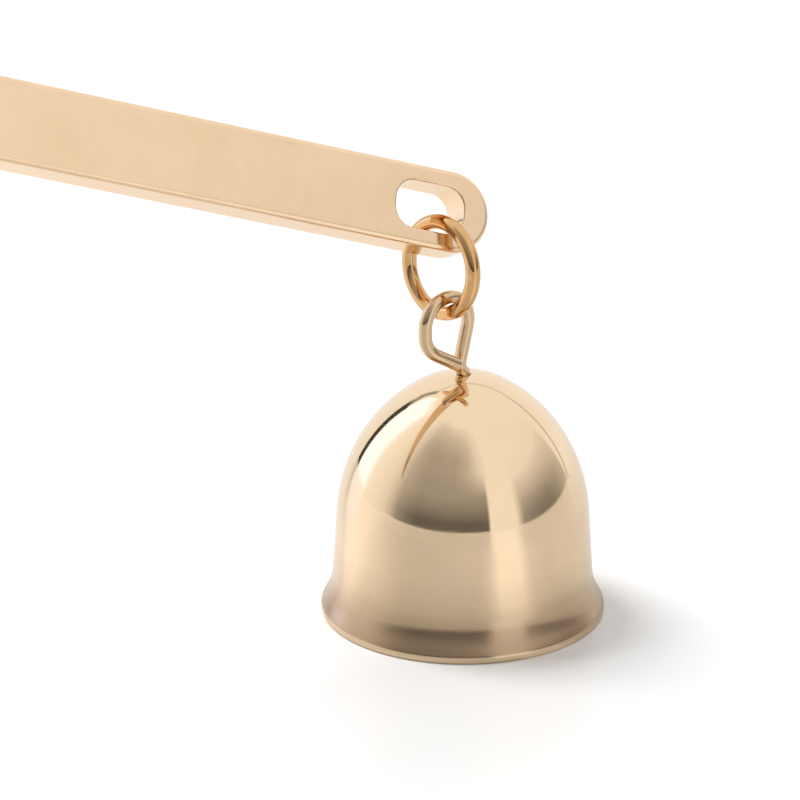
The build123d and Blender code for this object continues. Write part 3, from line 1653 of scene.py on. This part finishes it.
@dataclass
class Surroundings:
    """The white studio round the set."""

    seen: float = 1.0
    fill: float = 0.58

    def build(self) -> bpy.types.World:
        """Makes the studio white where it is seen or mirrored, and dimmer where it lights.

        Returns:
            The world.
        """
        world = bpy.data.worlds.new("studio")
        world.use_nodes = True
        world.node_tree.nodes.clear()
        bench = NodeBench(world.node_tree)
        ray = bench.add("ShaderNodeLightPath")
        seen = ray.outputs["Is Camera Ray"]
        for name in ("Is Glossy Ray", "Is Transmission Ray"):
            seen = bench.sum("MAXIMUM", seen, ray.outputs[name])
        strength = bench.span(seen, (0.0, 1.0), (self.fill, self.seen))
        shader = bench.add("ShaderNodeBackground", Color=grey(1.0), Strength=strength)
        bench.add("ShaderNodeOutputWorld", Surface=shader.outputs["Background"])
        bpy.context.scene.world = world
        return world


def turned(view: float, profile: Profile) -> Profile:
    """Returns an azimuth profile given from the viewing side, turned to the studio's front."""
    return [(view + angle, level) for angle, level in profile]


def make_cards(view: float) -> list[Card]:
    """Lists the cards, with azimuths counted from the viewing side.

    Args:
        view: The azimuth of the viewing side.

    Returns:
        A dark card in front, a dimmer one to the right and a bright box to the left.
    """
    edge = [(-92, 0.0), (-80, 0.13), (-72, 0.4), (-64, 0.76), (-52, 0.93), (-44, 1.0)]
    crisp = [*edge, (22.5, 1.0), (24.5, 0.0)]
    low = [
        (-1.0, 0.3), (1.0, 0.3), (1.9, 0.93), (7.4, 0.925), (11.0, 0.86),
        (18.0, 0.75), (25.0, 0.66), (33.0, 0.3), (42.0, 0.0),
    ]
    soft = [*edge, (-10, 0.95), (6, 0.7), (18, 0.3), (30, 0.0)]
    high = [(25.0, 0.0), (33.0, 0.35), (42.0, 0.62), (52.0, 0.6), (62.0, 0.44), (76.0, 0.0)]
    right = [(49, 0.0), (57, 0.85), (66, 0.95), (77, 1.0), (90, 1.0), (103, 0.85), (120, 0.5)]
    right_rise = [
        (-1.0, 0.3), (0.2, 0.3), (1.2, 0.92), (8.7, 0.82), (12.7, 0.72),
        (19.6, 0.48), (28.0, 0.2), (31.0, 0.07), (46.0, 0.0),
    ]
    box = [(-135, 1.0), (-113, 1.0), (-105, 0.2), (-95, 0.08), (-84, 0.0)]
    box_rise = [(-1.0, 0.2), (3.0, 1.0), (50.0, 1.0), (62.0, 0.0)]
    front_layers = [(turned(view, crisp), low), (turned(view, soft), high)]
    return [
        Card("front_card", -0.92, front_layers, (1.0, 0.97, 0.95)),
        Card("right_card", -0.85, [(turned(view, right), right_rise)], (1.0, 0.96, 0.94)),
        Card("left_box", 0.55, [(turned(view, box), box_rise)], (0.92, 0.99, 1.25)),
    ]


def make_struts(view: float) -> list[Strut]:
    """Lists the bars of the frame that stands behind the object.

    Args:
        view: The azimuth of the viewing side.

    Returns:
        The bars from the left foot over the top to the right foot.
    """
    left_foot, left_bend = (view - 134.5, -3.0), (view - 137.5, 32.0)
    left_top, right_bend = (view - 147.0, 51.0), (view + 140.0, 36.0)
    right_foot = (view + 122.0, -1.0)
    return [
        Strut("left_post", left_foot, left_bend, 0.26, 0.05),
        Strut("left_brace", left_bend, left_top, 0.2, 0.35),
        Strut("left_rail", left_top, (view - 180.0, 49.0), 0.05, 0.5),
        Strut("right_rail", (view + 180.0, 49.0), right_bend, 0.07, 0.6),
        Strut("right_post", right_bend, right_foot, 0.09, 0.55),
    ]


def make_studio() -> None:
    """Builds the floor, the surroundings, the cards, the struts and the lamp."""
    Floor().build()
    Surroundings().build()
    cards, struts = make_cards(Viewpoint.azimuth), make_struts(Viewpoint.azimuth)
    for prop in cards + struts:
        prop.build()
    Lamp("key_lamp", azimuth=-140.0, elevation=57.0, spread=28.0, power=2.15).build()
    log.info("studio: %d cards and %d struts", len(cards), len(struts))


GOLD_BAR = PolishedGold(
    "bar_gold",
    bright=(0.92, 0.68, 0.45),
    warm=(0.90, 0.65, 0.42),
    worn=(0.95, 0.78, 0.55),
    roughness=(0.12, 0.2),
)
GOLD_RING = PolishedGold(
    "ring_gold",
    bright=(0.76, 0.48, 0.23),
    warm=(0.70, 0.41, 0.17),
    worn=(0.90, 0.64, 0.36),
    roughness=(0.03, 0.06),
)
GOLD_EYE = PolishedGold(
    "eye_gold",
    bright=(0.74, 0.54, 0.34),
    warm=(0.68, 0.47, 0.28),
    worn=(0.88, 0.68, 0.46),
    roughness=(0.03, 0.06),
)
GOLD_BELL = PolishedGold(
    "bell_gold",
    bright=(0.90, 0.69, 0.46),
    warm=(0.88, 0.67, 0.44),
    worn=(0.95, 0.78, 0.56),
    # The foot darkens the bell's colour towards the lip as painted shade, and dulls it.
    foot=(
        (0.0, 0.0), (0.6, 0.0), (0.8, 1.0), (1.6, 0.95),
        (2.8, 0.8), (4.0, 0.5), (5.5, 0.22), (8.0, 0.0),
    ),
    foot_roughness=0.17,
    painted_foot_shade=(0.48, 0.33, 0.21),
)


def main() -> None:
    """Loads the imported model, dresses it and sets it in its studio."""
    logging.basicConfig(level=logging.INFO, format="%(name)s: %(message)s")
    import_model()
    Viewpoint().build()
    make_studio()
    Handle(GOLD_BAR, Body.HANDLE, Slot.HANDLE, "handle").build()
    JumpRing(GOLD_RING, Body.RING, Slot.RING, "jump_ring").build()
    Eye(GOLD_EYE, Body.EYE, Slot.EYE, "bell_eye").build()
    Bell(GOLD_BELL, Body.BELL, Slot.BELL, "bell").build()
    bpy.context.scene.view_settings.view_transform = "Standard"


if __name__ == "__main__":
    main()
